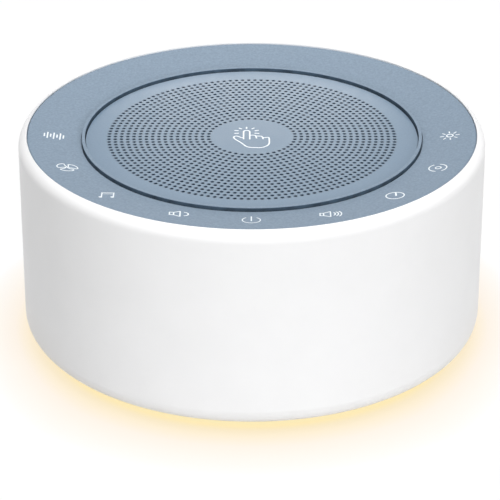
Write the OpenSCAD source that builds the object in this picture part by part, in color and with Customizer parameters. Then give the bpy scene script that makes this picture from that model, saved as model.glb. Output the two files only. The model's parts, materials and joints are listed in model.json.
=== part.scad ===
// White noise sound machine: a round table-top body with nine touch keys on a dished ring, a
// perforated grille over a loudspeaker, and a night-light ring under its lower edge.
// Units are millimetres and +Z is up. The origin is the middle of the footprint, on the surface
// that it stands on. The front, with the power key, faces -Y, and the power inlet faces +Y.

/* [Overall] */
// Outer diameter of the housing
body_d = 110; // [91:0.5:132]
// Height from the surface to the top edge of the housing
body_h = 51; // [42.5:0.5:61]

/* [Housing] */
// Thickness of the side wall
wall_t = 2; // [1.6:0.1:2.4]
// Radius of the rounded shoulder
shoulder_r = 3; // [2.5:0.1:4]
// Width of the shoulder outside the touch ring
shoulder_w = 2.1; // [1.6:0.1:2.4]
// Radius of the rounded lower edge
edge_r = 4.2; // [3.5:0.1:5]
// Height of the lower edge above the surface
stand_h = 1.8; // [1.5:0.1:2.4]
// Thickness of the lip that turns in at the lower edge
lip_t = 2; // [1.6:0.1:2.4]
// Reach of the lip, from the outside of the wall
lip_w = 4.4; // [4:0.1:5.4]
// Thickness of the flange that carries the touch ring
flange_t = 2; // [1.6:0.1:2.4]
// Reach of the flange, from the outside of the wall
flange_w = 5.6; // [5.2:0.1:6]
// Height of the four base bosses
boss_h = 20; // [14:0.5:22]
// Radius of a base boss
boss_r = 3.4; // [3:0.1:4]

/* [Touch ring] */
// Width of the ring, from its outer edge to the rim
ring_w = 12.8; // [10.5:0.05:15.6]
// Fall of the ring from its outer edge to the rim
dish_drop = 1.85; // [1:0.05:2.4]
// Depth of the ring's outer edge below the top of the housing
panel_sink = 0.15; // [0:0.05:0.3]
// Thickness of the ring beside the rim
panel_t = 1.9; // [1.6:0.1:2.4]
// Height of the hub wall under the ring
hub_h = 3.2; // [2.6:0.1:4]
// Thickness of the hub wall
hub_w = 4; // [3.4:0.1:4.8]
// Distance of the key circle from the ring's outer edge
key_inset = 6.5; // [6.3:0.1:7]
// Number of touch keys
key_count = 9; // [5:1:11]
// Angle between two keys
key_pitch = 21.9; // [18:0.1:26]
// Radius of a sensing pad
pad_r = 2.4; // [1.5:0.1:2.5]
// Thickness of the touch board
touch_board_t = 1.1; // [0.8:0.1:1.6]

/* [Grille and rim] */
// Thickness of the perforated plate
grille_t = 0.8; // [0.6:0.1:1.2]
// Diameter of one hole
hole_d = 0.82; // [0.5:0.02:1]
// Distance between two rings of holes
hole_pitch = 1.465; // [1.3:0.005:1.8]
// Number of the first ring of holes, counted from the centre
first_ring = 7; // [3:1:10]
// Plain border outside the last ring of holes
plain_border = 5.2; // [3:0.1:8]
// Width of the rim
rim_w = 0.75; // [0.6:0.05:1.6]
// Width of the groove on each side of the rim
rim_gap = 0.25; // [0.1:0.05:0.4]
// Height of the rim above the grille
rim_rise = 0.9; // [0.5:0.05:1.2]
// Thickness of the light cap on the rim
cap_t = 0.15; // [0.1:0.05:0.3]
// Thickness of the dust screen
screen_t = 0.3; // [0.2:0.1:0.5]

/* [Speaker] */
// Thickness of the frame that holds the speaker
frame_t = 2.4; // [2:0.1:3]
// Inner radius of the basket's mouth
mouth_r = 24.9; // [20.7:0.1:30]
// Width of the basket's front flange
front_w = 2.6; // [2.2:0.1:3.2]
// Radius of a screw lug
lug_r = 3.2; // [2.8:0.1:3.6]
// Depth from the front flange to the spider's seat
seat_depth = 5.9; // [5:0.1:7]
// Depth from the front flange to the magnet system
basket_depth = 9; // [8.5:0.1:10.8]
// Thickness of the basket's sheet
basket_t = 0.8; // [0.6:0.1:1]
// Thickness of the gasket
gasket_t = 0.9; // [0.6:0.1:1.4]
// Radius of the surround's half roll
roll_r = 1.95; // [1.6:0.05:2.4]
// Thickness of the surround
surround_t = 0.4; // [0.3:0.05:0.5]
// Outer radius of the spider
spider_r = 19.4; // [18.4:0.1:20.4]
// Thickness of the spider
spider_t = 0.35; // [0.25:0.05:0.5]
// Inner radius of the coil former
former_r = 9.9; // [8.3:0.1:10.4]
// Wall of the coil former
former_t = 0.25; // [0.2:0.05:0.3]
// Thickness of the winding
winding_t = 0.3; // [0.2:0.05:0.4]
// Height of the winding
winding_h = 4; // [3.4:0.1:4.8]
// Clearance between the moving coil and the magnet system
coil_gap = 0.35; // [0.3:0.05:0.5]
// Outer radius of the magnet
magnet_r = 19.4; // [16.5:0.1:22]
// Thickness of the magnet
magnet_t = 6; // [5:0.1:7]
// Radius of the two steel plates
plate_r = 17; // [15:0.1:19]
// Thickness of the two steel plates
plate_t = 2.4; // [2:0.1:3]
// Rise of the dust cap above the cone
cap_rise = 3.6; // [2.5:0.1:4.5]

/* [Electronics] */
// Thickness of the main board
board_t = 1.6; // [1.2:0.1:2]
// Distance of the main board's front edge from the centre
board_front = 16; // [14:0.5:20]
// Width of the tongue that carries the power inlet
tongue_w = 15; // [13:0.5:18]
// Width of the power inlet's shell
usb_w = 8.94; // [8:0.02:10]
// Height of the power inlet's shell
usb_h = 3.26; // [3:0.02:3.6]
// Length of the power inlet's shell
usb_l = 7.35; // [6.5:0.05:8.5]
// Setback of the power inlet's mouth from the outside of the housing
usb_setback = 0.7; // [0.4:0.1:1.2]
// Width of the ribbon cable
ribbon_w = 8; // [6:0.5:9]
// Distance of the ribbon cable to the left of the centre
ribbon_x = 12; // [11.5:0.5:13]
// Thickness of the ribbon cable
ribbon_t = 0.5; // [0.4:0.1:0.8]
// Radius of one speaker lead
lead_r = 0.6; // [0.5:0.05:0.8]
// Distance of each speaker lead from the middle
lead_x = 1.8; // [1.4:0.1:2.2]

/* [Night light] */
// Width of the light ring's lower face
light_w = 5.2; // [4.4:0.1:6]
// Number of light-emitting diodes
led_count = 12; // [8:1:24]
// Thickness of the light board
led_board_t = 1; // [0.8:0.1:1.2]
// Height of one diode
led_h = 0.7; // [0.5:0.1:0.9]

/* [Base] */
// Height of the base plate's lower face above the surface
base_z = 1.3; // [1.1:0.1:1.5]
// Thickness of the base plate
base_t = 2.1; // [1.9:0.1:2.6]
// Radius of a rubber foot
foot_r = 5; // [4:0.1:6]
// Depth of a foot's pocket in the base plate
foot_pocket = 0.6; // [0.4:0.1:0.9]

/* [Hidden] */
$fn = 96;

// Clearances
seam = 0.1; // between two pieces that are set into each other
slack = 0.4; // between two pieces that pass each other in assembly
thread_gap = 0.05; // between a screw and its hole
bond = 0.02; // film of glue between two round pieces
over = 1; // how far a cutting shape runs past what it cuts

// Radii of the outside, from the wall inwards
housing_r = body_d / 2;
wall_in_r = housing_r - wall_t;
lip_r = housing_r - lip_w;
flange_r = housing_r - flange_w;
opening_r = housing_r - shoulder_w + seam;
panel_r = opening_r - seam;
rim_out_r = panel_r - ring_w;
rim_in_r = rim_out_r - rim_w;
grille_r = rim_in_r - rim_gap;
skirt_r = flange_r + 0.6;
key_r = panel_r - key_inset;

// Radii under the ring
seat_w = 1.6; // width of the ledge under the grille's edge
screen_ledge_w = 1.6; // width of the ledge under the dust screen
screen_pocket_r = grille_r - seat_w;
screen_r = screen_pocket_r - slack / 2;
throat_r = screen_pocket_r - screen_ledge_w;
hub_out_r = rim_out_r + rim_gap + 1;
hub_in_r = hub_out_r - hub_w;
touch_in_r = hub_out_r + slack;
touch_out_r = flange_r - slack;

// Heights of the top, from the top downwards
panel_z = body_h - panel_sink;
grille_z = panel_z - dish_drop;
rim_z = grille_z + rim_rise;
seat_z = grille_z - grille_t;
screen_gap = 0.3; // air between the dust screen and the grille
screen_z = seat_z - screen_gap - screen_t;
screen_ledge_t = 1;
under_z = grille_z - panel_t;
skirt_h = 0.6;
flange_z = under_z - skirt_h;
hub_z = under_z - hub_h;
frame_z = hub_z - frame_t;
shoulder_drop = max(0, opening_r - housing_r + shoulder_r);
shoulder_z = body_h - sqrt(pow(shoulder_r, 2) - pow(shoulder_drop, 2));

// The speaker, from its front flange downwards
driver_z = frame_z - gasket_t - surround_t;
front_r = mouth_r + front_w;
front_t = 1;
lug_at_r = front_r + 1.5;
seat_top_z = driver_z - seat_depth;
base_ring_z = driver_z - basket_depth;
seat_in_r = spider_r - 1.8;
magnet_z = base_ring_z - plate_t - magnet_t;
yoke_z = magnet_z - plate_t;
former_out_r = former_r + former_t;
winding_r = former_out_r + winding_t;
pole_r = former_r - coil_gap;
gap_r = winding_r + coil_gap;
roll_at_r = mouth_r + 0.25 - roll_r;
cone_t = 0.45;
cone_edge_r = roll_at_r - roll_r + 0.15;
cone_flat_r = cone_edge_r - 1.5;
neck_r = former_out_r + bond;
neck_z = seat_top_z + 0.8;
neck_h = 0.55;
cone_slope = (driver_z - neck_z - neck_h) / (cone_flat_r - neck_r);
cap_edge_r = former_out_r + 1.25;
cap_edge_z = neck_z + neck_h + (cap_edge_r - neck_r) * cone_slope + bond;
cap_ball_r = (pow(cap_edge_r, 2) + pow(cap_rise, 2)) / (2 * cap_rise);
cap_shell = 0.4;
winding_z = base_ring_z - plate_t / 2 - winding_h / 2;

// The base and the night light, from the surface upwards
base_r = lip_r - light_w;
base_top_z = base_z + base_t;
lip_z = stand_h + lip_t;
light_top_z = lip_z + 0.8;
led_z = light_top_z + 0.3;
led_board_z = led_z + led_h;
main_z = led_board_z + led_board_t + 0.6;
main_top_z = main_z + board_t;
carrier_r = base_r - 1.5;
carrier_w = 2.1;
led_in_r = carrier_r - 1.7;
led_out_r = lip_r - 0.6;
led_at_r = (base_r + lip_r) / 2 - 0.7;
foot_at_r = base_r - 12.2;

// Screws: radius of head, height of head, radius of shaft, length of shaft
base_screw = [2.6, 1, 1.15, 10];
board_screw = [2.2, 1, 0.9, board_t + 2.8];
frame_screw = [2, 1.2, 1.1, frame_t + 3];
panel_screw = [1.6, 1.1, 0.75, flange_t + 2.6];
speaker_screw = [2.1, 1.1, 0.95, front_t + surround_t + gasket_t + frame_t - 0.6];
boss_at_r = carrier_r - carrier_w - boss_r - 0.7;
frame_screw_at_r = hub_out_r - hub_w / 2;
panel_screw_at_r = (flange_r + panel_r) / 2;

// The main board lies between the bosses
board_gap = 2.9;
board_hw = boss_at_r * cos(45) - boss_r - board_gap;
board_back = sqrt(pow(wall_in_r - 1.5, 2) - pow(board_hw, 2));
tongue_y = wall_in_r - 1.5;
post_r = 2.5;
post_x = board_hw - 4;
post_back = sqrt(pow(carrier_r - carrier_w - post_r - 1.4, 2) - pow(post_x, 2));
post_front = board_front - 5;
usb_front = housing_r - usb_setback;
usb_z = main_top_z + usb_h / 2;
ribbon_y = touch_in_r + 2.7;
lead_y = front_r + 2;
plug_h = 3.2;
lead_plug_h = 3.8;
touch_plug_h = 2.6;

// A ring around the Z axis
module ring(out_r, in_r, low, high) {
    translate([0, 0, low])
        linear_extrude(high - low)
            difference() {
                circle(out_r);
                circle(in_r);
            }
}

// Copies spread evenly around the Z axis
module around(count, at_r, start = 0) {
    for (i = [0 : count - 1])
        rotate(start + i * 360 / count)
            translate([at_r, 0, 0])
                children();
}

// What is cut from an outline's corner at [x, z] to round it; sx and sz point out of the corner
module corner(x, z, r, sx, sz) {
    translate([x - sx * r, z - sz * r])
        difference() {
            translate([min(0, sx * (r + over)), min(0, sz * (r + over))])
                square(r + over);
            circle(r);
        }
}

// A screw that points up, with the underside of its shaft at the origin and a cross in its head
module screw(size) {
    slot_w = size[0] * 0.3;
    slot_l = size[0] * 1.2;
    slot_h = size[1] * 0.55;
    difference() {
        union() {
            translate([0, 0, -size[1]])
                cylinder(r = size[0], h = size[1]);
            translate([0, 0, -size[1] / 2])
                cylinder(r = size[2], h = size[3] + size[1] / 2);
        }
        for (a = [0, 90])
            rotate(a)
                translate([-slot_l / 2, -slot_w / 2, -size[1] - over])
                    cube([slot_l, slot_w, slot_h + over]);
    }
}

// A hole for the shaft of a screw, upwards from the origin
module shaft_hole(size, depth) {
    translate([0, 0, -over])
        cylinder(r = size[2] + thread_gap, h = depth + over);
}

// A rounded slot through the rear wall, around the power inlet
module inlet_slot(gap) {
    r = usb_h / 2 + gap;
    half = usb_w / 2 - usb_h / 2;
    translate([0, wall_in_r - 2 * over, usb_z])
        rotate([-90, 0, 0])
            linear_extrude(wall_t + 4 * over) {
                for (side = [-1, 1])
                    translate([side * half, 0])
                        circle(r);
                translate([-half, -r])
                    square([2 * half, 2 * r]);
            }
}

module housing_outline() {
    low_r = min(lip_r, flange_r);
    block_z = shoulder_z + shoulder_r;
    difference() {
        translate([low_r, stand_h])
            square([housing_r - low_r, block_z - stand_h]);
        corner(housing_r, stand_h, edge_r, 1, -1);
        corner(housing_r, block_z, shoulder_r, 1, 1);
        translate([0, flange_z])
            square([opening_r, block_z]);
        translate([0, lip_z])
            square([wall_in_r, flange_z - flange_t - lip_z]);
        square([lip_r, lip_z + over]);
        translate([0, flange_z - flange_t - over])
            square([flange_r, flange_t + 2 * over]);
    }
}

// A base boss, and the rib that ties it to the wall above the light board
module base_boss() {
    rib_t = 1.8;
    rib_z = led_board_z + led_board_t + 2;
    into_wall = 0.5;
    translate([0, 0, base_top_z])
        cylinder(r = boss_r, h = boss_h);
    translate([0, -rib_t / 2, rib_z])
        cube([wall_in_r - boss_at_r + into_wall, rib_t, base_top_z + boss_h - rib_z]);
}

module housing() {
    color("white")
        difference() {
            union() {
                rotate_extrude()
                    housing_outline();
                around(4, boss_at_r, 45)
                    base_boss();
            }
            inlet_slot(0.3);
            around(4, boss_at_r, 45)
                translate([0, 0, base_top_z])
                    shaft_hole(base_screw, base_screw[3]);
            around(4, panel_screw_at_r, 45)
                translate([0, 0, flange_z - flange_t])
                    shaft_hole(panel_screw, flange_t + over);
        }
}

module touch_panel() {
    bevel = 0.25;
    slope = dish_drop / (panel_r - rim_out_r - rim_gap);
    color([0.576, 0.639, 0.706])
        difference() {
            rotate_extrude()
                polygon([
                    [panel_r, flange_z],
                    [panel_r, panel_z - bevel],
                    [panel_r - bevel, panel_z - bevel * slope],
                    [rim_out_r + rim_gap, grille_z],
                    [rim_out_r + rim_gap, seat_z],
                    [screen_pocket_r, seat_z],
                    [screen_pocket_r, screen_z],
                    [throat_r, screen_z],
                    [throat_r, screen_z - screen_ledge_t],
                    [hub_in_r, screen_z - screen_ledge_t],
                    [hub_in_r, hub_z],
                    [hub_out_r, hub_z],
                    [hub_out_r, under_z],
                    [skirt_r, under_z],
                    [skirt_r, flange_z]
                ]);
            around(4, frame_screw_at_r)
                translate([0, 0, hub_z])
                    shaft_hole(frame_screw, frame_screw[3] - frame_t + 0.3);
            around(4, panel_screw_at_r, 45)
                translate([0, 0, flange_z])
                    shaft_hole(panel_screw, panel_screw[3] - flange_t + 0.3);
        }
}

module rim_band() {
    color([0.2, 0.27, 0.34])
        ring(rim_out_r, rim_in_r, seat_z, rim_z - cap_t);
}

module rim_cap() {
    round_r = cap_t / 2;
    color([0.6, 0.67, 0.74])
        rotate_extrude()
            difference() {
                translate([rim_in_r, rim_z - cap_t])
                    square([rim_w, cap_t]);
                corner(rim_in_r, rim_z, round_r, -1, 1);
                corner(rim_out_r, rim_z, round_r, 1, 1);
            }
}

// Ring k holds 6k holes, so that the holes line up along six spokes
module speaker_grille() {
    last_ring = floor((grille_r - plain_border) / hole_pitch);
    color([0.6, 0.67, 0.74])
        translate([0, 0, seat_z])
            linear_extrude(grille_t)
                difference() {
                    circle(grille_r);
                    for (k = [first_ring : last_ring], i = [0 : 6 * k - 1])
                        rotate(i * 60 / k)
                            translate([k * hole_pitch, 0])
                                circle(d = hole_d, $fn = 16);
                }
}

module dust_screen() {
    color([0.1, 0.12, 0.15])
        translate([0, 0, screen_z])
            cylinder(r = screen_r, h = screen_t);
}

module touch_board() {
    color("darkgreen")
        ring(touch_out_r, touch_in_r, hub_z, hub_z + touch_board_t);
}

// One pad of conductive foam under each key
module touch_pads() {
    color("dimgray")
        for (i = [0 : key_count - 1])
            rotate(270 + (i - (key_count - 1) / 2) * key_pitch)
                translate([key_r, 0, hub_z + touch_board_t])
                    cylinder(r = pad_r, h = under_z - hub_z - touch_board_t);
}

module touch_chip() {
    size = 4.4;
    chip_h = 1;
    color([0.12, 0.12, 0.13])
        rotate(60)
            translate([(touch_in_r + touch_out_r - size) / 2, -size / 2, hub_z + touch_board_t])
                cube([size, size, chip_h]);
}

// A plug that stands on z, with its middle at [x, y]
module plug(x, y, z, size) {
    translate([x - size[0] / 2, y - size[1] / 2, z])
        cube(size);
}

module touch_connector() {
    color("ivory")
        plug(-ribbon_x, ribbon_y, hub_z - touch_plug_h, [ribbon_w + 2, 3.6, touch_plug_h]);
}

module ribbon_cable() {
    low = main_top_z + plug_h;
    color("gainsboro")
        plug(-ribbon_x, ribbon_y, low, [ribbon_w, ribbon_t, hub_z - touch_plug_h - low]);
}

module ribbon_connector() {
    color("ivory")
        plug(-ribbon_x, ribbon_y, main_top_z, [ribbon_w + 2, 3.6, plug_h]);
}

module speaker_frame() {
    flare = 2.2;
    mouth = mouth_r + 0.3;
    color([0.16, 0.16, 0.17])
        difference() {
            rotate_extrude()
                polygon([
                    [mouth, frame_z],
                    [touch_out_r, frame_z],
                    [touch_out_r, hub_z],
                    [mouth + flare, hub_z]
                ]);
            around(4, frame_screw_at_r)
                translate([0, 0, frame_z])
                    shaft_hole(frame_screw, frame_t + over);
            around(4, lug_at_r, 45)
                translate([0, 0, frame_z])
                    shaft_hole(speaker_screw, frame_t - 0.4);
            plug(-ribbon_x, ribbon_y, frame_z - over, [ribbon_w + 3, 4.4, frame_t + 2 * over]);
        }
}

module frame_screws() {
    color("silver")
        around(4, frame_screw_at_r)
            translate([0, 0, frame_z])
                screw(frame_screw);
}

module panel_screws() {
    color("silver")
        around(4, panel_screw_at_r, 45)
            translate([0, 0, flange_z - flange_t])
                screw(panel_screw);
}

module speaker_gasket() {
    color([0.1, 0.1, 0.1])
        ring(front_r - 0.2, mouth_r + 0.4, frame_z - gasket_t, frame_z);
}

// The basket's front: a round flange, four screw lugs and a tab for the terminals
module basket_front() {
    tab_w = 10;
    tab_l = 3.6;
    difference() {
        union() {
            circle(front_r);
            around(4, lug_at_r, 45)
                circle(lug_r);
            translate([-tab_w / 2, 0])
                square([tab_w, front_r + tab_l]);
        }
        circle(mouth_r);
        around(4, lug_at_r, 45)
            circle(speaker_screw[2] + thread_gap);
    }
}

module speaker_basket() {
    window_w = 15;
    wall_r = spider_r + 0.9;
    wall_z = seat_top_z - basket_t;
    color("darkgray")
        difference() {
            union() {
                translate([0, 0, driver_z - front_t])
                    linear_extrude(front_t)
                        basket_front();
                rotate_extrude()
                    polygon([
                        [mouth_r, driver_z],
                        [spider_r + 0.4, seat_top_z],
                        [seat_in_r, seat_top_z],
                        [seat_in_r, base_ring_z + basket_t],
                        [gap_r + basket_t, base_ring_z + basket_t],
                        [gap_r + basket_t, base_ring_z],
                        [seat_in_r + basket_t, base_ring_z],
                        [seat_in_r + basket_t, wall_z],
                        [wall_r, wall_z],
                        [mouth_r + 0.5, driver_z - front_t],
                        [mouth_r + 0.5, driver_z]
                    ]);
            }
            around(4, wall_r - 1)
                translate([0, -window_w / 2, seat_top_z + 0.8])
                    cube([front_r, window_w, driver_z - front_t - 0.7 - seat_top_z - 0.8]);
        }
}

// Half roll between the cone and the basket, with a flat lip on each side
module surround() {
    color([0.09, 0.09, 0.1])
        rotate_extrude()
            union() {
                intersection() {
                    translate([roll_at_r, driver_z])
                        difference() {
                            circle(roll_r);
                            circle(roll_r - surround_t);
                        }
                    translate([0, driver_z])
                        square([mouth_r + over, 2 * roll_r]);
                }
                translate([cone_flat_r + 0.2, driver_z])
                    square([roll_at_r - roll_r + surround_t - cone_flat_r - 0.2, surround_t]);
                translate([roll_at_r + roll_r - surround_t, driver_z])
                    square([front_r - 0.2 - roll_at_r - roll_r + surround_t, surround_t]);
            }
}

module speaker_cone() {
    color([0.14, 0.14, 0.15])
        rotate_extrude()
            polygon([
                [neck_r, neck_z],
                [cone_flat_r + 0.1, driver_z - cone_t],
                [cone_edge_r, driver_z - cone_t],
                [cone_edge_r, driver_z],
                [cone_flat_r, driver_z],
                [neck_r, neck_z + neck_h]
            ]);
}

// A thin dome over the coil
module dust_cap() {
    color([0.11, 0.11, 0.12])
        rotate_extrude()
            intersection() {
                translate([0, cap_edge_z + cap_rise - cap_ball_r])
                    difference() {
                        circle(cap_ball_r);
                        circle(cap_ball_r - cap_shell);
                    }
                translate([0, cap_edge_z])
                    square([cap_edge_r + over, cap_rise + over]);
            }
}

module coil_former() {
    color("goldenrod")
        ring(former_out_r, former_r, winding_z - 0.9, neck_z + neck_h);
}

module coil_winding() {
    color([0.72, 0.45, 0.2])
        ring(winding_r, former_out_r, winding_z, winding_z + winding_h);
}

// Five half rolls, down and up in turn, between the coil and the basket's seat
module spider() {
    in_r = former_out_r + bond;
    lip_in = 0.5;
    rolls = 5;
    first_r = in_r + lip_in;
    wave_r = (seat_in_r - 0.3 - first_r + (rolls - 1) * spider_t) / (2 * rolls);
    step = 2 * wave_r - spider_t;
    color("khaki")
        translate([0, 0, seat_top_z])
            rotate_extrude()
                union() {
                    translate([in_r, 0])
                        square([lip_in + spider_t / 2, spider_t]);
                    for (i = [0 : rolls - 1])
                        translate([first_r + wave_r + i * step, spider_t / 2])
                            intersection() {
                                difference() {
                                    circle(wave_r);
                                    circle(wave_r - spider_t);
                                }
                                translate([-wave_r, i % 2 == 0 ? -spider_t / 2 : -wave_r])
                                    square([2 * wave_r, wave_r + spider_t / 2]);
                            }
                    translate([first_r + rolls * step, 0])
                        square([spider_r - first_r - rolls * step, spider_t]);
                }
}

module top_plate() {
    color("slategray")
        ring(plate_r, gap_r, base_ring_z - plate_t, base_ring_z);
}

module magnet() {
    color([0.2, 0.2, 0.21])
        ring(magnet_r, gap_r + 1.4, magnet_z, magnet_z + magnet_t);
}

module yoke() {
    color("slategray") {
        translate([0, 0, yoke_z])
            cylinder(r = plate_r + 0.5, h = plate_t);
        translate([0, 0, yoke_z + plate_t / 2])
            cylinder(r = pole_r, h = base_ring_z - yoke_z - plate_t / 2);
    }
}

module terminal_strip() {
    color("peru")
        plug(0, front_r + 1.3, driver_z - front_t - 1, [9, 4, 1]);
}

module speaker_screws() {
    color("silver")
        around(4, lug_at_r, 45)
            translate([0, 0, driver_z - front_t])
                screw(speaker_screw);
}

module speaker_leads() {
    low = main_top_z + lead_plug_h;
    color("firebrick")
        for (side = [-1, 1])
            translate([side * lead_x, lead_y, low])
                cylinder(r = lead_r, h = driver_z - front_t - 1 - low, $fn = 24);
}

module lead_connector() {
    color("ivory")
        plug(0, lead_y, main_top_z, [7, 5, lead_plug_h]);
}

module main_board() {
    color("darkgreen")
        difference() {
            translate([0, 0, main_z])
                linear_extrude(board_t) {
                    translate([-board_hw, -board_front])
                        square([2 * board_hw, board_front + board_back]);
                    translate([-tongue_w / 2, 0])
                        square([tongue_w, tongue_y]);
                }
            for (side = [-1, 1], y = [-post_front, post_back])
                translate([side * post_x, y, main_z])
                    shaft_hole(board_screw, board_t + over);
        }
}

module board_chips() {
    color([0.12, 0.12, 0.13]) {
        plug(0, 0, main_top_z, [7, 7, 0.9]);
        plug(10, 12, main_top_z, [5, 4, 1.2]);
        plug(-10, 12, main_top_z, [5, 4, 1.2]);
    }
}

module capacitors() {
    can_r = 3;
    can_h = 7;
    at_y = magnet_r + can_r + 1;
    color("navy")
        for (side = [-1, 1])
            translate([side * (board_hw - can_r - 3), at_y, main_top_z])
                cylinder(r = can_r, h = can_h);
}

// A steel shell around a cavity with a tongue in its middle
module usb_socket() {
    shell_t = 0.3;
    tongue_t = 0.7;
    cavity_l = 6.2;
    color("silver")
        translate([0, usb_front, usb_z])
            rotate([90, 0, 0])
                difference() {
                    linear_extrude(usb_l)
                        inlet_section(0);
                    difference() {
                        translate([0, 0, -over])
                            linear_extrude(cavity_l + over)
                                inlet_section(-shell_t);
                        translate([-usb_w / 2 + 1.5, -tongue_t / 2, 0.5])
                            cube([usb_w - 3, tongue_t, cavity_l]);
                    }
                }
}

// The power inlet's stadium, grown by gap
module inlet_section(gap) {
    half = usb_w / 2 - usb_h / 2;
    for (side = [-1, 1])
        translate([side * half, 0])
            circle(usb_h / 2 + gap);
    translate([-half, -usb_h / 2 - gap])
        square([2 * half, usb_h + 2 * gap]);
}

module board_screws() {
    color("silver")
        for (side = [-1, 1], y = [-post_front, post_back])
            translate([side * post_x, y, main_top_z])
                mirror([0, 0, 1])
                    screw(board_screw);
}

module led_board() {
    color("ivory")
        ring(led_out_r, led_in_r, led_board_z, led_board_z + led_board_t);
}

module leds() {
    size = [2.8, 3.5, led_h];
    color("khaki")
        around(led_count, led_at_r)
            plug(0, 0, led_z, size);
}

module led_header() {
    low = led_board_z + led_board_t;
    color([0.12, 0.12, 0.13])
        plug(ribbon_x, ribbon_y, low, [7.6, 2.5, main_z - low]);
}

// The diffuser rests on the housing's lip and on the base plate's edge
module light_ring() {
    round_r = 0.6;
    color([1, 0.93, 0.75])
        rotate_extrude()
            difference() {
                polygon([
                    [base_r + seam, base_z],
                    [lip_r - seam, base_z],
                    [lip_r - seam, lip_z],
                    [wall_in_r - seam, lip_z],
                    [wall_in_r - seam, light_top_z],
                    [base_r - 1.2, light_top_z],
                    [base_r - 1.2, base_top_z],
                    [base_r + seam, base_top_z]
                ]);
                corner(lip_r - seam, base_z, round_r, 1, -1);
            }
}

module base_plate() {
    head_gap = 0.3;
    post_h = main_z - base_top_z;
    color("whitesmoke")
        difference() {
            union() {
                translate([0, 0, base_z])
                    cylinder(r = base_r, h = base_t);
                ring(carrier_r, carrier_r - carrier_w, base_z + base_t / 2, led_board_z);
                for (side = [-1, 1], y = [-post_front, post_back])
                    translate([side * post_x, y, base_top_z - base_t / 2])
                        cylinder(r = post_r, h = post_h + base_t / 2);
            }
            around(4, boss_at_r, 45)
                translate([0, 0, base_z]) {
                    shaft_hole(base_screw, base_t + over);
                    translate([0, 0, -over])
                        cylinder(r = base_screw[0] + head_gap, h = base_screw[1] + over);
                }
            around(4, foot_at_r)
                translate([0, 0, base_z - over])
                    cylinder(r = foot_r + seam, h = foot_pocket + over);
            for (side = [-1, 1], y = [-post_front, post_back])
                translate([side * post_x, y, main_top_z - board_screw[3] - 0.3])
                    cylinder(r = board_screw[2] + thread_gap, h = board_screw[3]);
        }
}

module base_screws() {
    color("silver")
        around(4, boss_at_r, 45)
            translate([0, 0, base_z + base_screw[1]])
                screw(base_screw);
}

module rubber_feet() {
    round_r = 0.5;
    foot_h = base_z + foot_pocket;
    color([0.2, 0.2, 0.21])
        around(4, foot_at_r)
            rotate_extrude()
                difference() {
                    square([foot_r, foot_h]);
                    corner(foot_r, 0, round_r, 1, -1);
                }
}

housing();
touch_panel();
rim_band();
rim_cap();
speaker_grille();
dust_screen();
touch_board();
touch_pads();
touch_chip();
touch_connector();
ribbon_cable();
ribbon_connector();
speaker_frame();
frame_screws();
panel_screws();
speaker_gasket();
speaker_basket();
surround();
speaker_cone();
dust_cap();
coil_former();
coil_winding();
spider();
top_plate();
magnet();
yoke();
terminal_strip();
speaker_screws();
speaker_leads();
lead_connector();
main_board();
board_chips();
capacitors();
usb_socket();
board_screws();
led_board();
leds();
led_header();
light_ring();
base_plate();
base_screws();
rubber_feet();
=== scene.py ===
"""Looks of a round table-top sound machine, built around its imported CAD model.

Lengths are in metres and colours are written as they should look on a screen, from 0 to 1.
"""

import json
import math

import bmesh
import bpy
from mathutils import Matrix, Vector
from mathutils.bvhtree import BVHTree
from mathutils.geometry import delaunay_2d_cdt


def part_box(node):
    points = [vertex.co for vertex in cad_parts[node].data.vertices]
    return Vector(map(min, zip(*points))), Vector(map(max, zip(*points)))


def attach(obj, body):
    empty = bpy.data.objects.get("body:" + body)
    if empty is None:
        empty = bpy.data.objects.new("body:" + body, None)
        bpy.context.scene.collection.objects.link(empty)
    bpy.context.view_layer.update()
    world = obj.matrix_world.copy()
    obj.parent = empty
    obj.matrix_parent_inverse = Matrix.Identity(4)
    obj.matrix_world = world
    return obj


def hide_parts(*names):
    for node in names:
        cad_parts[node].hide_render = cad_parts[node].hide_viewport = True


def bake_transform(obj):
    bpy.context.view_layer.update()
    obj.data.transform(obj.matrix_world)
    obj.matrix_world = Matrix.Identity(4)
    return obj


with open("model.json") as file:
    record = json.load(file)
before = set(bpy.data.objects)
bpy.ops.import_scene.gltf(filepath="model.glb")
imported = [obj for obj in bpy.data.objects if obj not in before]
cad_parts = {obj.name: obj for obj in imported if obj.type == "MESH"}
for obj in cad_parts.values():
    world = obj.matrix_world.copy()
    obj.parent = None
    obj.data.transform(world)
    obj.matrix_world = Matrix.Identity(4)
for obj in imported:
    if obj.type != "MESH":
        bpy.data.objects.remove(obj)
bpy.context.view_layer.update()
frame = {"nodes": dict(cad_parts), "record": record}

MM = 0.001
CASE, CONE = "case", "cone"
FULL_TURN = 360
PHOTO_PX = 500


# ---------------------------------------------------------------- finishes


def linear(colour, alpha=1.0):
    """Screen colour to the linear colour that a shader socket takes."""
    channels = [c / 12.92 if c <= 0.04045 else ((c + 0.055) / 1.055) ** 2.4 for c in colour]
    return (*channels, alpha)


def shade(colour, factor):
    """The same hue, lighter (over 1) or darker (under 1)."""
    return tuple(min(1.0, c * factor) for c in colour)


# The Mix node's sockets for colours.
MIX_COLOURS, MIX_RESULT = (6, 7), 2


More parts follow.
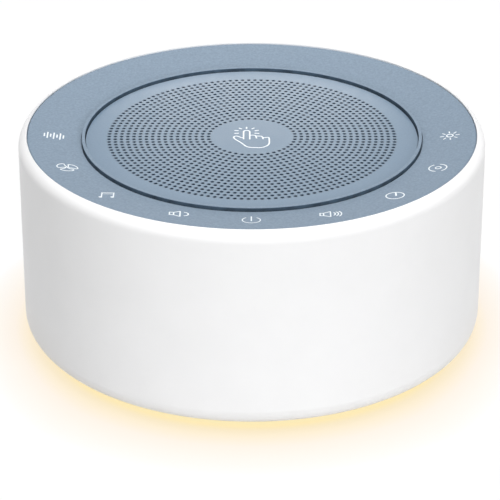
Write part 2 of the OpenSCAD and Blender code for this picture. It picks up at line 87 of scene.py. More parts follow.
class Finish:
    """A procedural material: one Principled shader and the textures that feed it."""

    def __init__(self, name, colour, roughness, metallic=0.0):
        self.material = bpy.data.materials.new(name)
        self.material.use_nodes = True
        self.nodes = self.material.node_tree.nodes
        self.links = self.material.node_tree.links
        self.shader = self.nodes["Principled BSDF"]
        self.place = self.nodes.new("ShaderNodeTexCoord").outputs["Object"]
        self.set("Base Color", linear(colour))
        self.set("Roughness", roughness)
        self.set("Metallic", metallic)
        self.normal = None

    def set(self, socket, value):
        self.shader.inputs[socket].default_value = value

    def add(self, kind, links=None, **values):
        """New node; links maps its inputs to other nodes' outputs, values sets the rest."""
        made = self.nodes.new("ShaderNode" + kind)
        for socket, value in values.items():
            name = socket.replace("_", " ").title()
            made.inputs[name].default_value = value
        for socket, output in (links or {}).items():
            self.links.new(output, made.inputs[socket])
        return made

    def noise(self, size, detail=3.0, stretch=(1, 1, 1)):
        """Cloudy value, features about size across, finer along an axis with stretch over 1."""
        vector = self.place
        if stretch != (1, 1, 1):
            vector = self.add("Mapping", {"Vector": vector}, scale=stretch).outputs["Vector"]
        cloud = self.add("TexNoise", {"Vector": vector}, scale=1 / size, detail=detail)
        return cloud.outputs["Fac"]

    def cells(self, size):
        """Value that rises from the middle of each grain, size across."""
        grains = self.add("TexVoronoi", {"Vector": self.place}, scale=1 / size)
        return grains.outputs["Distance"]

    def bands(self, pitch, axis):
        """Value that swings once every pitch along an axis: X, Y or Z."""
        wave = self.add("TexWave", {"Vector": self.place}, scale=math.pi / 10 / pitch)
        wave.bands_direction = axis
        wave.wave_profile = "SIN"
        return wave.outputs["Fac"]

    def maths(self, operation, first, second=0.0):
        """Result of a Math node on numbers or other nodes' outputs."""
        made = self.nodes.new("ShaderNodeMath")
        made.operation = operation
        for socket, value in zip(made.inputs, (first, second)):
            if isinstance(value, (int, float)):
                socket.default_value = value
            else:
                self.links.new(value, socket)
        return made.outputs["Value"]

    def spread(self, value, **ends):
        """Value stretched from from_min..from_max to to_min..to_max, and held at those ends."""
        return self.add("MapRange", {"Value": value}, **ends).outputs["Result"]

    def length(self, x, y):
        """Length of the vector (x, y)."""
        squares = [self.maths("MULTIPLY", side, side) for side in (x, y)]
        return self.maths("SQRT", self.maths("ADD", *squares))

    def flat_place(self):
        """X and Y of the place on the piece."""
        apart = self.add("SeparateXYZ", {"Vector": self.place}).outputs
        return apart["X"], apart["Y"]

    def ramp(self, value, *stops):
        """Colour that runs through (position, screen colour) stops."""
        made = self.add("ValToRGB", {"Fac": value})
        points = made.color_ramp.elements
        while len(points) < len(stops):
            points.new(0.5)
        for point, (position, colour) in zip(points, stops):
            point.position = position
            point.color = linear(colour)
        return made.outputs["Color"]

    def tone(self, low, high, share):
        """Colour that goes from low to high as share goes from 0 to 1."""
        made = self.add("Mix", {0: share})
        made.data_type = "RGBA"
        for socket, colour in zip(MIX_COLOURS, (low, high)):
            if isinstance(colour, tuple):
                made.inputs[socket].default_value = linear(colour)
            else:
                self.links.new(colour, made.inputs[socket])
        return made.outputs[MIX_RESULT]

    def mottled(self, value, dark, light):
        """Colour that goes from dark to light along the middle of a value."""
        return self.ramp(value, (0.3, dark), (0.7, light))

    def paint(self, colour):
        """Uses a texture's colour as the piece's own."""
        self.links.new(colour, self.shader.inputs["Base Color"])

    def facing_up(self):
        """1 on faces that look up or down, 0 on upright walls."""
        normal = self.add("NewGeometry").outputs["True Normal"]
        upright = self.add("SeparateXYZ", {"Vector": normal}).outputs["Z"]
        return self.maths("GREATER_THAN", self.maths("ABSOLUTE", upright), 0.5)

    def tint(self, value, dark, light):
        """Colours the piece from dark to light along a value's middle."""
        self.paint(self.mottled(value, dark, light))

    def uneven(self, value, low, high):
        """Varies the roughness between low and high."""
        rough = self.spread(value, from_min=0.25, from_max=0.75, to_min=low, to_max=high)
        self.links.new(rough, self.shader.inputs["Roughness"])

    def relief(self, value, depth):
        """Adds fine relief, depth high, on top of any relief so far."""
        links = {"Height": value}
        if self.normal is not None:
            links["Normal"] = self.normal
        self.normal = self.add("Bump", links, distance=depth, strength=1.0).outputs["Normal"]
        self.links.new(self.normal, self.shader.inputs["Normal"])


def moulded(name, colour, roughness, grain=0.25 * MM, depth=0.006 * MM, mottle=0.01,
            cloud=9 * MM):
    """Moulded plastic: spark-eroded grain, a faint mottle and slightly uneven gloss."""
    finish = Finish(name, colour, roughness)
    finish.tint(finish.noise(cloud, 4), shade(colour, 1 - mottle), shade(colour, 1 + mottle))
    finish.uneven(finish.noise(1.2 * MM, 2), roughness - 0.04, roughness + 0.05)
    finish.relief(finish.noise(grain, 3), depth)
    return finish


def white_plastic():
    finish = moulded("white_plastic", (0.955, 0.955, 0.957), 0.38, 0.3 * MM, 0.004 * MM, 0.004)
    finish.set("Specular IOR Level", 0.4)
    return finish


def blue_plastic():
    """The touch ring: a soft matt finish with fine lighter flecks."""
    finish = moulded("blue_plastic", (0.5, 0.568, 0.636), 0.6, 0.22 * MM, 0.008 * MM,
                     mottle=0.05, cloud=0.55 * MM)
    finish.set("Specular IOR Level", 0.3)
    return finish


# The grille's holes, as in the CAD model: ring k is k pitches from the middle and has 6k holes.
RING_HOLES = 6
HOLE_PITCH = 1.465 * MM
HOLE_R = 0.41 * MM
HOLE_SHADE_R = 0.68 * MM  # outer radius of the painted shade round each hole
FIRST_RING, LAST_RING = 7, 23


def clear_of_holes(finish):
    """0 at the edge of the grille's holes, 1 on the plate between them and clear of them."""
    x, y = finish.flat_place()
    ring = finish.maths("ROUND", finish.maths("DIVIDE", finish.length(x, y), HOLE_PITCH))
    step = finish.maths("DIVIDE", math.radians(FULL_TURN / RING_HOLES), ring)
    turns = finish.maths("ROUND", finish.maths("DIVIDE", finish.maths("ARCTAN2", y, x), step))
    angle = finish.maths("MULTIPLY", turns, step)
    reach = finish.maths("MULTIPLY", ring, HOLE_PITCH)
    from_hole = []
    for side, part in ((x, "COSINE"), (y, "SINE")):
        middle = finish.maths("MULTIPLY", reach, finish.maths(part, angle))
        from_hole.append(finish.maths("SUBTRACT", side, middle))
    clear = finish.spread(finish.length(*from_hole), from_min=HOLE_R, from_max=HOLE_SHADE_R)
    inside = finish.maths("LESS_THAN", ring, FIRST_RING - 0.5)
    outside = finish.maths("GREATER_THAN", ring, LAST_RING + 0.5)
    return finish.maths("MAXIMUM", clear, finish.maths("MAXIMUM", inside, outside))


def blue_metal():
    """The grille: punched aluminium, painted; painted shade darkens the holes' walls and a ring
    round each hole, and the plain middle is a little darker.
    """
    base, wall = (0.428, 0.52, 0.606), (0.32, 0.4, 0.475)
    # edge is painted shade on the plate round each hole, fading out a little way from it; middle
    # is the plain middle, a little darker.
    edge, middle = shade(base, 0.74), shade(base, 0.945)
    finish = Finish("blue_metal", base, 0.3)
    cloud = finish.mottled(finish.noise(0.5 * MM, 4), shade(base, 0.98), shade(base, 1.02))
    outward = finish.spread(finish.length(*finish.flat_place()), from_min=8 * MM,
                            from_max=12 * MM, to_min=0.5, to_max=1)
    top = finish.tone(edge, finish.tone(middle, cloud, outward), clear_of_holes(finish))
    # Upright faces, the holes' walls, take the darker colour: painted shade inside the holes.
    finish.paint(finish.tone(wall, top, finish.facing_up()))
    finish.relief(finish.cells(0.16 * MM), 0.006 * MM)
    finish.relief(finish.noise(0.6 * MM, 3), 0.006 * MM)
    finish.uneven(finish.noise(3 * MM), 0.28, 0.33)
    finish.set("Specular IOR Level", 0.35)
    return finish


def rubber(name, colour):
    """Moulded rubber: dull, with a dusty bloom in patches."""
    finish = Finish(name, colour, 0.78)
    bloom = finish.noise(2.5 * MM, 5)
    finish.tint(bloom, shade(colour, 0.85), shade(colour, 1.25))
    finish.relief(finish.noise(0.12 * MM, 3), 0.01 * MM)
    finish.uneven(bloom, 0.68, 0.88)
    finish.set("Specular IOR Level", 0.3)
    return finish


def woven(name, colour, thread, light=1.5):
    """Plain weave: crossing threads, with painted shade between them and a painted highlight on
    their crowns.
    """
    finish = Finish(name, colour, 0.9)
    weave = finish.maths("MULTIPLY", finish.bands(thread, "X"), finish.bands(thread, "Y"))
    finish.tint(weave, shade(colour, 0.6), shade(colour, light))
    finish.relief(weave, thread / 4)
    finish.relief(finish.noise(thread / 3, 2), thread / 12)
    finish.set("Sheen Weight", 0.2)
    return finish


def plated(name, colour, roughness=0.3):
    """Plated steel: fine drawn lines, a slightly clouded coat."""
    finish = Finish(name, colour, roughness, metallic=1.0)
    finish.tint(finish.noise(1.5 * MM, 5), shade(colour, 0.88), shade(colour, 1.06))
    finish.uneven(finish.noise(0.4 * MM, 4), roughness - 0.08, roughness + 0.14)
    finish.relief(finish.noise(0.15 * MM, 3, (1, 1, 6)), 0.003 * MM)
    return finish


def painted_steel(name, colour):
    """Pressed steel under black paint with a slight orange peel."""
    finish = Finish(name, colour, 0.42)
    finish.tint(finish.noise(2 * MM, 4), shade(colour, 0.9), shade(colour, 1.1))
    finish.relief(finish.cells(0.5 * MM), 0.012 * MM)
    finish.uneven(finish.noise(1 * MM, 3), 0.34, 0.5)
    finish.set("Coat Weight", 0.25)
    return finish


def circuit_board(name, mask, track):
    """Solder mask over copper: tracks show through as paler lines in two directions."""
    finish = Finish(name, mask, 0.32)
    grid = finish.add("TexBrick", {"Vector": finish.place}, scale=1.0, mortar_size=0.12 * MM,
                      brick_width=3.1 * MM, row_height=0.9 * MM)
    grid.offset = 0.37
    across = finish.maths("GREATER_THAN", grid.outputs["Fac"], 0.5)
    patch = finish.maths("GREATER_THAN", finish.noise(4 * MM, 1), 0.5)
    lines = finish.maths("MULTIPLY", across, patch)
    finish.paint(finish.ramp(lines, (0.0, mask), (1.0, track)))
    finish.relief(lines, 0.03 * MM)
    finish.relief(finish.noise(0.2 * MM, 2), 0.003 * MM)
    finish.set("Coat Weight", 0.4)
    finish.set("Coat Roughness", 0.15)
    return finish


def chip_epoxy(name, colour):
    """Filled epoxy of a chip package: dull black with tiny painted glints."""
    finish = Finish(name, colour, 0.55)
    finish.tint(finish.cells(0.12 * MM), shade(colour, 1.5), shade(colour, 0.8))
    finish.relief(finish.noise(0.08 * MM, 2), 0.006 * MM)
    return finish


def foam(name, colour):
    """Open-cell conductive foam, with painted shade in its pores."""
    finish = Finish(name, colour, 0.95)
    pores = finish.cells(0.25 * MM)
    finish.tint(pores, shade(colour, 0.45), shade(colour, 1.3))
    finish.relief(pores, 0.12 * MM)
    return finish


def sleeve(name, colour, grain_axis=(1, 6, 1)):
    """Extruded cable jacket or shrink sleeve: glossy, with faint drawing lines."""
    finish = Finish(name, colour, 0.28)
    finish.tint(finish.noise(2 * MM, 2), shade(colour, 0.93), shade(colour, 1.05))
    finish.relief(finish.noise(0.3 * MM, 2, grain_axis), 0.008 * MM)
    finish.set("Coat Weight", 0.3)
    return finish


def paper_pulp(name, colour):
    """Pressed pulp of a loudspeaker cone: matted fibres."""
    finish = Finish(name, colour, 0.85)
    fibres = finish.noise(0.35 * MM, 8, (1, 2.5, 1))
    finish.tint(fibres, shade(colour, 0.6), shade(colour, 1.6))
    finish.relief(fibres, 0.05 * MM)
    return finish


def film(name, colour):
    """Polyimide film wound into a tube: glossy amber with faint ridges round it."""
    finish = Finish(name, colour, 0.2)
    finish.tint(finish.noise(3 * MM, 3), shade(colour, 0.85), shade(colour, 1.1))
    finish.relief(finish.bands(0.5 * MM, "Z"), 0.01 * MM)
    finish.set("Coat Weight", 0.6)
    return finish


def wire_winding(name, colour):
    """Enamelled copper wire, wound layer on layer: one fine ridge a turn, with painted shade
    between the turns and a painted highlight on the ridges.
    """
    finish = Finish(name, colour, 0.25, metallic=1.0)
    turns = finish.bands(0.16 * MM, "Z")
    finish.tint(turns, shade(colour, 0.45), shade(colour, 1.15))
    finish.relief(turns, 0.05 * MM)
    finish.set("Coat Weight", 0.8)
    return finish


def ferrite(name, colour):
    """Sintered ferrite, ground flat: dark, grainy, with small chips."""
    finish = Finish(name, colour, 0.6)
    finish.tint(finish.noise(0.4 * MM, 8), shade(colour, 0.7), shade(colour, 1.35))
    chips = finish.maths("GREATER_THAN", finish.noise(0.9 * MM, 3), 0.66)
    finish.relief(chips, 0.05 * MM)
    finish.relief(finish.noise(0.15 * MM, 4), 0.01 * MM)
    return finish


def phosphor(name, colour):
    """Light-emitting diode: yellow phosphor that shines warm white."""
    finish = Finish(name, colour, 0.35)
    finish.tint(finish.noise(0.3 * MM, 3), shade(colour, 0.94), shade(colour, 1.03))
    finish.set("Emission Color", linear((1.0, 0.86, 0.6)))
    finish.set("Emission Strength", 2.0)
    return finish


def diffuser(name, colour):
    """Frosted diffuser, lit from behind with warm light."""
    finish = Finish(name, colour, 0.6)
    finish.tint(finish.noise(6 * MM, 2), shade(colour, 0.97), colour)
    finish.relief(finish.noise(0.12 * MM, 3), 0.008 * MM)
    finish.set("Emission Color", linear((1.0, 0.85, 0.55)))
    finish.set("Emission Strength", 0.9)
    return finish


FINISHES = {
    "white_plastic": white_plastic,
    "blue_plastic": blue_plastic,
    "blue_metal": blue_metal,
    # The rim band round the grille is dark navy as painted shade: it stands in for the shadow
    # lines at the grille's edge.
    "navy_rubber": lambda: rubber("navy_rubber", (0.235, 0.29, 0.34)),
    "black_cloth": lambda: woven("black_cloth", (0.16, 0.185, 0.22), 0.22 * MM),
    "circuit_board": lambda: circuit_board("circuit_board", (0.05, 0.27, 0.12), (0.16, 0.42, 0.2)),
    "white_board": lambda: circuit_board("white_board", (0.9, 0.89, 0.85), (0.8, 0.79, 0.74)),
    "conductive_foam": lambda: foam("conductive_foam", (0.3, 0.3, 0.31)),
    "black_rubber": lambda: rubber("black_rubber", (0.09, 0.09, 0.1)),
    "grey_rubber": lambda: rubber("grey_rubber", (0.24, 0.24, 0.25)),
    "black_chip": lambda: chip_epoxy("black_chip", (0.12, 0.12, 0.13)),
    "ivory_plastic": lambda: moulded("ivory_plastic", (0.92, 0.89, 0.8), 0.35),
    "grey_cable": lambda: sleeve("grey_cable", (0.78, 0.78, 0.77)),
    "red_cable": lambda: sleeve("red_cable", (0.7, 0.12, 0.12)),
    "black_plastic": lambda: moulded("black_plastic", (0.15, 0.15, 0.16), 0.45, mottle=0.06),
    "pressed_steel": lambda: painted_steel("pressed_steel", (0.3, 0.3, 0.31)),
    "black_paper": lambda: paper_pulp("black_paper", (0.14, 0.14, 0.15)),
    "yellow_cloth": lambda: woven("yellow_cloth", (0.76, 0.64, 0.36), 0.35 * MM, 1.2),
    "amber_film": lambda: film("amber_film", (0.72, 0.45, 0.12)),
    "copper": lambda: wire_winding("copper", (0.78, 0.45, 0.24)),
    "zinc_steel": lambda: plated("zinc_steel", (0.74, 0.75, 0.77)),
    "ferrite": lambda: ferrite("ferrite", (0.17, 0.17, 0.18)),
    "brown_board": lambda: moulded("brown_board", (0.55, 0.38, 0.22), 0.5, mottle=0.06),
    "blue_can": lambda: sleeve("blue_can", (0.1, 0.16, 0.36), (1, 1, 6)),
    "nickel_steel": lambda: plated("nickel_steel", (0.78, 0.77, 0.74), 0.24),
    "led_phosphor": lambda: phosphor("led_phosphor", (0.95, 0.85, 0.5)),
    "diffuser": lambda: diffuser("diffuser", (0.99, 0.93, 0.8)),
}


def put(name, data):
    """New object in the scene."""
    made = bpy.data.objects.new(name, data)
    bpy.context.scene.collection.objects.link(made)
    return made


def dress(piece, material):
    """Gives a piece one material all over."""
    slots = piece.data.materials
    for index in range(len(slots)):
        slots[index] = material
    if not slots:
        slots.append(material)


def dress_cad_nodes():
    """Gives every CAD node the finish of its slot, and returns the finishes by slot."""
    made = {slot: make().material for slot, make in FINISHES.items()}
    for part in frame["record"]["subparts"]:
        dress(frame["nodes"][part["node"]], made[part["material_slot"]])
    return made


def blacken_tongue(finishes):
    """The power inlet's tongue, and the wall behind it, are black plastic in the plated shell."""
    shell, half_t, back_wall = 1.45 * MM, 0.4 * MM, 0.5 * MM
    socket = frame["nodes"]["usb_socket"]
    socket.data.materials.append(finishes["black_plastic"])
    low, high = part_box("usb_socket")
    middle = (low + high) / 2
    half_w, back = (high.x - low.x) / 2 - shell, low.y + back_wall
    for face in socket.data.polygons:
        x, y, z = face.center
        if abs(x - middle.x) < half_w and abs(z - middle.z) < half_t and y > back:
            face.material_index = len(socket.data.materials) - 1


# ---------------------------------------------------------------- rings between the case and the cone, cut into sectors

SECTORS = 12
WELD = 0.001 * MM
CREASE_DEG = 40


def sector_of(source, name, start, end):
    """Closed mesh of the part of a round one between two angles, less than half a turn apart."""
    made = bmesh.new()
    made.from_mesh(source)
    bmesh.ops.remove_doubles(made, verts=made.verts, dist=WELD)
    for angle, first in ((start, True), (end, False)):
        normal = (-math.sin(math.radians(angle)), math.cos(math.radians(angle)), 0)
        cut = bmesh.ops.bisect_plane(
            made, geom=made.verts[:] + made.edges[:] + made.faces[:], dist=WELD / 10,
            plane_co=(0, 0, 0), plane_no=normal, clear_inner=first, clear_outer=not first)
        rim = [edge for edge in cut["geom_cut"] if isinstance(edge, bmesh.types.BMEdge)]
        bmesh.ops.edgeloop_fill(made, edges=rim)
    bmesh.ops.recalc_face_normals(made, faces=made.faces)
    mesh = bpy.data.meshes.new(name)
    made.to_mesh(mesh)
    made.free()
    mesh.shade_smooth()
    mesh.set_sharp_from_angle(angle=math.radians(CREASE_DEG))
    return mesh


def flexing_ring(node, finish):
    """A CAD ring between the case and the cone, made of sectors, each a piece of its own in the
    node's place.
    """
    width = FULL_TURN / SECTORS
    for i in range(SECTORS):
        mesh = sector_of(frame["nodes"][node].data, f"{node}_{i:02d}",
                         width * (i - 0.5), width * (i + 0.5))
        piece = put(mesh.name, mesh)
        dress(piece, finish)
        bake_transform(piece)
        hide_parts(node)


def flex_suspension(finishes):
    """The surround and the spider: glued to the basket outside and to the cone inside."""
    for node, slot, held_r, moving_r in (("surround", "black_rubber", 24.8 * MM, 21.3 * MM),
                                         ("spider", "yellow_cloth", 17.3 * MM, 10.9 * MM)):
        flexing_ring(node, finishes[slot])


# ---------------------------------------------------------------- printed symbols
# A symbol is a list of flat shapes in millimetres, x to the right and y to the back of its key.

LINE_W = 0.28
STEP_DEG = 9


def turn(angle, radius=1.0, x=0.0, y=0.0, flat=1.0):
    """Point on a circle round (x, y), at an angle in degrees; flat squeezes it along y."""
    angle = math.radians(angle)
    return (x + radius * math.cos(angle), y + flat * radius * math.sin(angle))


def arc(x, y, radius, start, end, flat=1.0):
    """Points of an arc from start to end, in degrees."""
    steps = max(2, round(abs(end - start) / STEP_DEG))
    return [turn(start + (end - start) * i / steps, radius, x, y, flat)
            for i in range(steps + 1)]


def smooth(*points, steps=5):
    """Points of a smooth curve through the given ones (a Catmull-Rom spline)."""
    ends = [points[0], *points, points[-1]]
    made = []
    for a, b, c, d in zip(ends, ends[1:], ends[2:], ends[3:]):
        for i in range(steps):
            t = i / steps
            made.append(tuple(
                0.5 * (2 * q + (r - p) * t + (2 * p - 5 * q + 4 * r - s) * t * t
                       + (3 * q - p - 3 * r + s) * t ** 3)
                for p, q, r, s in zip(a, b, c, d)))
    return made + [points[-1]]


def dot(x, y, radius, flat=1.0):
    """A filled round spot."""
    return [Vector(p) for p in arc(x, y, radius, 0, FULL_TURN - 2 * STEP_DEG, flat)]


def stroke(*points, width=LINE_W):
    """Faces of a line of even width with round ends."""
    path = [Vector(p) for p in points]
    half = width / 2
    sides = []
    for i, point in enumerate(path):
        along = (path[min(i + 1, len(path) - 1)] - path[max(i - 1, 0)]).normalized()
        aside = Vector((-along.y, along.x)) * half
        sides.append((point + aside, point - aside))
    faces = [[a[1], b[1], b[0], a[0]] for a, b in zip(sides, sides[1:])]
    return faces + [dot(*path[0], half), dot(*path[-1], half)]


def bars(*uprights, width=LINE_W):
    """Upright strokes, each from (x, low) to (x, high)."""
    faces = []
    for x, low, high in uprights:
        faces += stroke((x, low), (x, high), width=width)
    return faces


def corners(*points, width=LINE_W):
    """Straight strokes from point to point, with round corners."""
    faces = []
    for pair in zip(points, points[1:]):
        faces += stroke(*pair, width=width)
    return faces


def circle(x, y, radius, width=LINE_W):
    return stroke(*arc(x, y, radius, 0, FULL_TURN), width=width)


def sound_bars():
    """White noise: seven upright bars."""
    pitch, middle = 0.742, -0.25
    heights = (1.5, 3.1, 1.4, 3.2, 1.4, 3.2, 1.5)
    places = [middle + pitch * (i - len(heights) // 2) for i in range(len(heights))]
    return bars(*((x, -h / 2, h / 2) for x, h in zip(places, heights)), width=0.34)


def fan():
    """Fan sound: three blades round a hub, each one an outline with a straight leading edge."""
    blade = ((-15, 0.28), (4, 1.2), (0, 2.1), (8, 2.45), (35, 2.45), (65, 2.35), (86, 2.15),
             (94, 1.8), (84, 1.05), (60, 0.28))
    middle_y, flat = -0.15, 0.86
    faces = []
    for lead in (112, 232, 352):
        outline = [turn(lead + angle, radius) for angle, radius in blade]
        faces += stroke(*smooth(*((x, middle_y + flat * y) for x, y in outline)), width=0.25)
    return faces


def music():
    """Music: two beamed notes."""
    left, right = -1.43, 1.19
    faces = bars((left, -1.95, 0.9), (right, -1.35, 1.5), width=0.29)
    faces += stroke((left, 0.9), (right, 1.5), width=0.22)
    faces += stroke((left, 0.15), (right, 0.75), width=0.15)
    return faces + [dot(left - 0.22, -1.95, 0.42, 0.85), dot(right - 0.22, -1.33, 0.42, 0.85)]


def speaker(back, neck, front, y, waves, width):
    """Volume: a loudspeaker with sound waves, each a (centre, radius, half angle) on its axis."""
    box, flare = 0.85, 1.75
    faces = corners((back, y - box), (back, y + box), (neck, y + box), (front, y + flare),
                    (front, y - flare), (neck, y - box), (back, y - box), width=width)
    faces += bars((neck, y - box, y + box), width=width)
    for x, radius, half in waves:
        faces += stroke(*arc(x, y, radius, -half, half), width=width)
    return faces


def volume_down():
    """Quieter: a loudspeaker with one wave."""
    return speaker(back=-0.84, neck=0.08, front=1.5, y=0.1, waves=[(2.1, 1.25, 72)], width=0.31)


def volume_up():
    """Louder: a loudspeaker with three waves."""
    waves = [(-0.35, radius, half) for radius, half in ((1.4, 38), (2.1, 38), (2.8, 34))]
    return speaker(back=-2.32, neck=-1.54, front=0.0, y=-0.3, waves=waves, width=0.29)


def power():
    """Power: an open ring with an upright bar."""
    x = -0.12
    return stroke(*arc(x, 0.32, 2.0, 128, 412), width=0.23) + bars((x, -0.3, 2.7))


def timer():
    """Timer: a dial with one hand."""
    return circle(-0.13, -0.55, 2.05) + bars((0.1, -0.6, 1.35), width=0.4)


def vibration():
    """Broadcast: a small ring between two brackets."""
    x, y, reach, spread = 0.24, -0.5, 2.05, 68
    faces = circle(x + 0.1, y, 0.66)
    for middle in (0, FULL_TURN / 2):
        faces += stroke(*arc(x, y, reach, middle - spread, middle + spread))
    return faces


def brightness():
    """Brightness: a ring with eight rays."""
    x, y = 0.25, 0.06
    faces = circle(x, y, 0.75, width=0.32)
    for angle in range(0, FULL_TURN, 45):
        faces += stroke(turn(angle, 1.45, x, y), turn(angle, 2.2, x, y))
    return faces


def tap_hand():
    """Touch here: a hand with one finger out and rays round its tip."""
    width = 0.36
    finger = arc(-1.22, 2.7, 0.73, 180, 0)
    faces = stroke((-1.95, -1.4), (-1.95, 2.7), *finger, (-0.49, -1.5), width=width)
    faces += stroke(*smooth(
        (-2.15, -0.75), (-2.65, -0.5), (-3.1, -0.05), (-3.65, 0.2), (-4.2, -0.1), (-4.25, -0.8),
        (-3.7, -1.9), (-2.75, -3.2), (-1.9, -4.6), (-1.2, -5.7), (-0.3, -6.15), (0.8, -6.25),
        (1.9, -6.3), (2.9, -5.85), (3.7, -5.0), (4.05, -4.0), (4.1, -2.4), (4.05, -0.9),
        (3.75, -0.5), (3.1, -0.6), (2.6, -0.55)), width=width)
    knuckles = (((-0.4, 0.7), (0.3, 0.75), (0.85, 0.5), (1.0, -0.2), (1.1, -0.95)),
                ((1.0, 0.25), (1.6, 0.2), (2.2, 0.15), (2.5, -0.4), (2.65, -1.3)))
    for knuckle in knuckles:
        faces += stroke(*smooth(*knuckle), width=width)
    rays = (((-1.25, 4.55), (-1.25, 5.3)), ((-2.5, 4.35), (-2.95, 4.75)),
            ((0.05, 4.35), (0.5, 4.8)), ((-3.3, 3.3), (-4.0, 3.45)), ((0.8, 3.25), (1.5, 3.5)),
            ((-3.2, 1.85), (-4.0, 1.75)), ((0.75, 1.85), (1.6, 1.75)))
    for ray in rays:
        faces += stroke(*ray, width=width)
    return faces


def ink():
    """White pad-printing ink: thin, slightly satin, with a faintly broken edge."""
    colour = (0.945, 0.968, 0.985)
    finish = Finish("white_ink", colour, 0.45)
    finish.tint(finish.noise(0.3 * MM, 3), shade(colour, 0.975), colour)
    finish.relief(finish.noise(0.1 * MM, 2), 0.003 * MM)
    return finish.material


INK_T = 0.03 * MM
INK_SINK = 0.01 * MM  # how far the ink reaches into the surface
INSIDE_ONLY, MERGE = 1, 1e-5  # triangles inside the shapes; distance of points that are one


def surface_under(node):
    """Function that gives the height of a CAD node's top at (x, y)."""
    mesh = frame["nodes"][node].data
    tree = BVHTree.FromPolygons([v.co for v in mesh.vertices], [p.vertices for p in mesh.polygons])
    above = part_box(node)[1].z + 5 * MM
    down = Vector((0, 0, -1))

    def height(x, y):
        return tree.ray_cast(Vector((x, y, above)), down)[0].z

    return height


def printed(name, shapes, centre, height, material):
    """A symbol's shapes as a thin layer of ink that follows the surface under them."""
    points, faces = [], []
    for shape in shapes:
        faces.append(list(range(len(points), len(points) + len(shape))))
        points += shape
    flat, _, parts, _, _, sources = delaunay_2d_cdt(points, [], faces, INSIDE_ONLY, MERGE)
    made = bmesh.new()
    spots = []
    for point in flat:
        x, y = centre[0] + point.x * MM, centre[1] + point.y * MM
        spots.append(made.verts.new((x, y, height(x, y) - INK_SINK)))
    tops = [made.faces.new([spots[i] for i in part])
            for part, source in zip(parts, sources) if source]
    bmesh.ops.recalc_face_normals(made, faces=tops)
    for face in tops:
        face.normal_update()
        if face.normal.z < 0:
            face.normal_flip()
    raised = bmesh.ops.extrude_face_region(made, geom=tops)
    lifted = [v for v in raised["geom"] if isinstance(v, bmesh.types.BMVert)]
    bmesh.ops.translate(made, verts=lifted, vec=(0, 0, INK_T + INK_SINK))
    bmesh.ops.recalc_face_normals(made, faces=made.faces)
    mesh = bpy.data.meshes.new(name)
    made.to_mesh(mesh)
    made.free()
    piece = put(name, mesh)
    dress(piece, material)
    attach(piece, CASE)


KEY_R = 46.4 * MM
KEY_PITCH_DEG = 22
FRONT_DEG = 270


def print_symbols():
    """Nine symbols round the front half of the ring, and one on the grille's plain middle."""
    material = ink()
    on_ring, on_grille = surface_under("touch_panel"), surface_under("speaker_grille")
    symbols = {"sound_bars": sound_bars(), "fan": fan(), "music": music(),
               "volume_down": volume_down(), "power": power(), "volume_up": volume_up(),
               "timer": timer(), "vibration": vibration(), "brightness": brightness()}
    for i, (name, shapes) in enumerate(symbols.items()):
        angle = FRONT_DEG + KEY_PITCH_DEG * (i - len(symbols) // 2)
        printed("symbol_" + name, shapes, turn(angle, KEY_R), on_ring, material)
    printed("symbol_touch", tap_hand(), (0, 0), on_grille, material)


# ---------------------------------------------------------------- stage

WORLD_STRENGTH = 0.15
FLOOR_SHINE = 0.9  # share of the floor's own light; the rest shows the object's shadow
# The painted glow's colours on the way from near to far, and how much shorter that way is at the
# sides.
GLOW_NEAR, GLOW_FAR = 49 * MM, 73 * MM
GLOW_SIDE_FALL = 1.26
GLOW = ((0.0, (0.97, 0.922, 0.745)), (0.083, (1.0, 0.932, 0.738)), (0.167, (1.0, 0.94, 0.809)),
        (0.292, (1.0, 0.948, 0.853)), (0.458, (1.0, 0.962, 0.915)), (0.625, (1.0, 0.974, 0.94)),
        (0.79, (1.0, 0.984, 0.962)), (0.9, (1.0, 0.991, 0.979)), (1.0, (1.0, 1.0, 1.0)))


def shows_background(nodes, links):
    """1 for rays that show what is behind: from the camera, or by way of gloss or glass."""
    rays = nodes.new("ShaderNodeLightPath").outputs
    value = rays["Is Camera Ray"]
    for kind in ("Is Glossy Ray", "Is Transmission Ray"):
        either = nodes.new("ShaderNodeMath")
        either.operation = "MAXIMUM"
        links.new(value, either.inputs[0])
        links.new(rays[kind], either.inputs[1])
        value = either.outputs["Value"]
    return value


def warm_floor():
    """White floor with the night light's warm glow painted into its colour, which falls off faster
    beside the object.
    """
    finish = Finish("floor", (1, 1, 1), 0.9)
    x, y = finish.flat_place()
    radius = finish.length(x, y)
    fall = finish.spread(finish.maths("DIVIDE", y, radius), from_min=-0.75, from_max=-0.4,
                         to_min=1, to_max=GLOW_SIDE_FALL)
    away = finish.spread(radius, from_min=GLOW_NEAR, from_max=GLOW_FAR)
    glow = finish.ramp(finish.maths("MULTIPLY", away, fall), *GLOW)
    bright = finish.add("Emission", {"Color": glow}, strength=1.0).outputs["Emission"]
    shaded = finish.add("BsdfDiffuse", {"Color": glow}).outputs["BSDF"]
    shown = finish.add("MixShader", {1: shaded, 2: bright}, fac=FLOOR_SHINE).outputs["Shader"]
    plain = finish.add("BsdfDiffuse", color=linear((0.74, 0.74, 0.74))).outputs["BSDF"]
    seen = shows_background(finish.nodes, finish.links)
    mixed = finish.add("MixShader", {"Fac": seen, 1: plain, 2: shown}).outputs["Shader"]
    finish.links.new(mixed, finish.nodes["Material Output"].inputs["Surface"])
    return finish.material


def make_floor():
    half = 1.5
    outline = [(-half, -half, 0), (half, -half, 0), (half, half, 0), (-half, half, 0)]
    mesh = bpy.data.meshes.new("floor")
    mesh.from_pydata(outline, [], [(0, 1, 2, 3)])
    floor = put("floor", mesh)
    dress(floor, warm_floor())


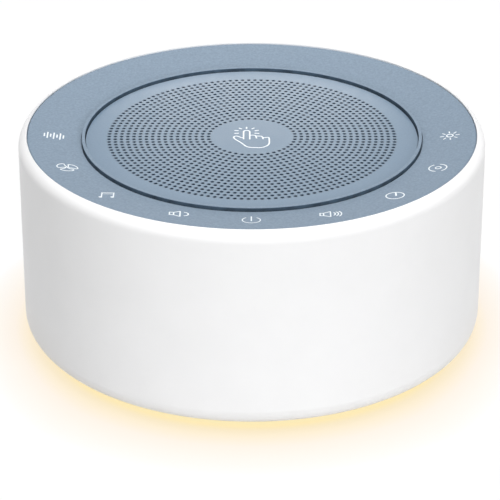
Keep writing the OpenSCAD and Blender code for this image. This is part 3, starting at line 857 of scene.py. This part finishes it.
def make_world():
    """Even studio light; what the camera, gloss and glass see of it is white."""
    world = bpy.data.worlds.new("studio")
    bpy.context.scene.world = world
    world.use_nodes = True
    nodes, links = world.node_tree.nodes, world.node_tree.links
    light, shown = nodes["Background"], nodes.new("ShaderNodeBackground")
    for background, strength in ((light, WORLD_STRENGTH), (shown, 1)):
        background.inputs["Color"].default_value = (1, 1, 1, 1)
        background.inputs["Strength"].default_value = strength
    mix = nodes.new("ShaderNodeMixShader")
    sources = (shows_background(nodes, links), light.outputs["Background"],
               shown.outputs["Background"])
    for source, socket in zip(sources, mix.inputs):
        links.new(source, socket)
    links.new(mix.outputs["Shader"], nodes["World Output"].inputs["Surface"])


def shine_from(lamp, direction):
    """Turns a lamp so that its light comes from a direction."""
    lamp.rotation_mode = "QUATERNION"
    lamp.rotation_quaternion = direction.to_track_quat("Z", "Y")


def make_sun(name, azimuth, elevation, strength, softness, mirrored=True):
    """Soft lamp that shines from an azimuth (0 is the front, 90 the right) and elevation.

    One that isn't mirrored lights the object but doesn't show as a reflection in it.
    """
    lamp = bpy.data.lights.new(name, "SUN")
    lamp.energy = strength
    lamp.angle = math.radians(softness)
    made = put(name, lamp)
    made.visible_glossy = mirrored
    a, e = math.radians(azimuth), math.radians(elevation)
    shine_from(made, Vector((math.sin(a) * math.cos(e), -math.cos(a) * math.cos(e), math.sin(e))))


def make_softbox(name, place, aim, size, watts):
    """Rectangular lamp, size wide and high, from a place towards another. It has no shadow."""
    lamp = bpy.data.lights.new(name, "AREA")
    lamp.shape = "RECTANGLE"
    lamp.size, lamp.size_y = size
    lamp.energy = watts
    lamp.use_shadow = False
    lamp.cycles.use_multiple_importance_sampling = False
    made = put(name, lamp)
    made.location = place
    made.visible_camera = False
    shine_from(made, Vector(place) - Vector(aim))


def make_camera():
    """Camera at the photograph's place, found from the round outlines."""
    distance, height, pitch_down = 0.5453, 0.2977, 27.08
    focal_px, middle_x = 2534.7, 251.85
    lens = bpy.data.cameras.new("camera")
    lens.sensor_width = 36
    lens.lens = lens.sensor_width * focal_px / PHOTO_PX
    lens.shift_x = (PHOTO_PX / 2 - middle_x) / PHOTO_PX
    camera = put("camera", lens)
    camera.location = (0, -distance, height)
    camera.rotation_euler = (math.radians(90 - pitch_down), 0, 0)
    bpy.context.scene.camera = camera


make_camera()
make_world()
make_sun("key", azimuth=34, elevation=15, strength=1.54, softness=30, mirrored=False)
make_sun("fill", azimuth=-30, elevation=15, strength=0.77, softness=30, mirrored=False)
make_sun("top", azimuth=0, elevation=90, strength=2.42, softness=40)
make_softbox("rim", place=(0, 0.20, 0.116), aim=(0, 0.02, 0.05), size=(0.09, 0.015), watts=0.031)
make_floor()
finishes = dress_cad_nodes()
blacken_tongue(finishes)
flex_suspension(finishes)
print_symbols()
bpy.context.scene.view_settings.view_transform = "Standard"
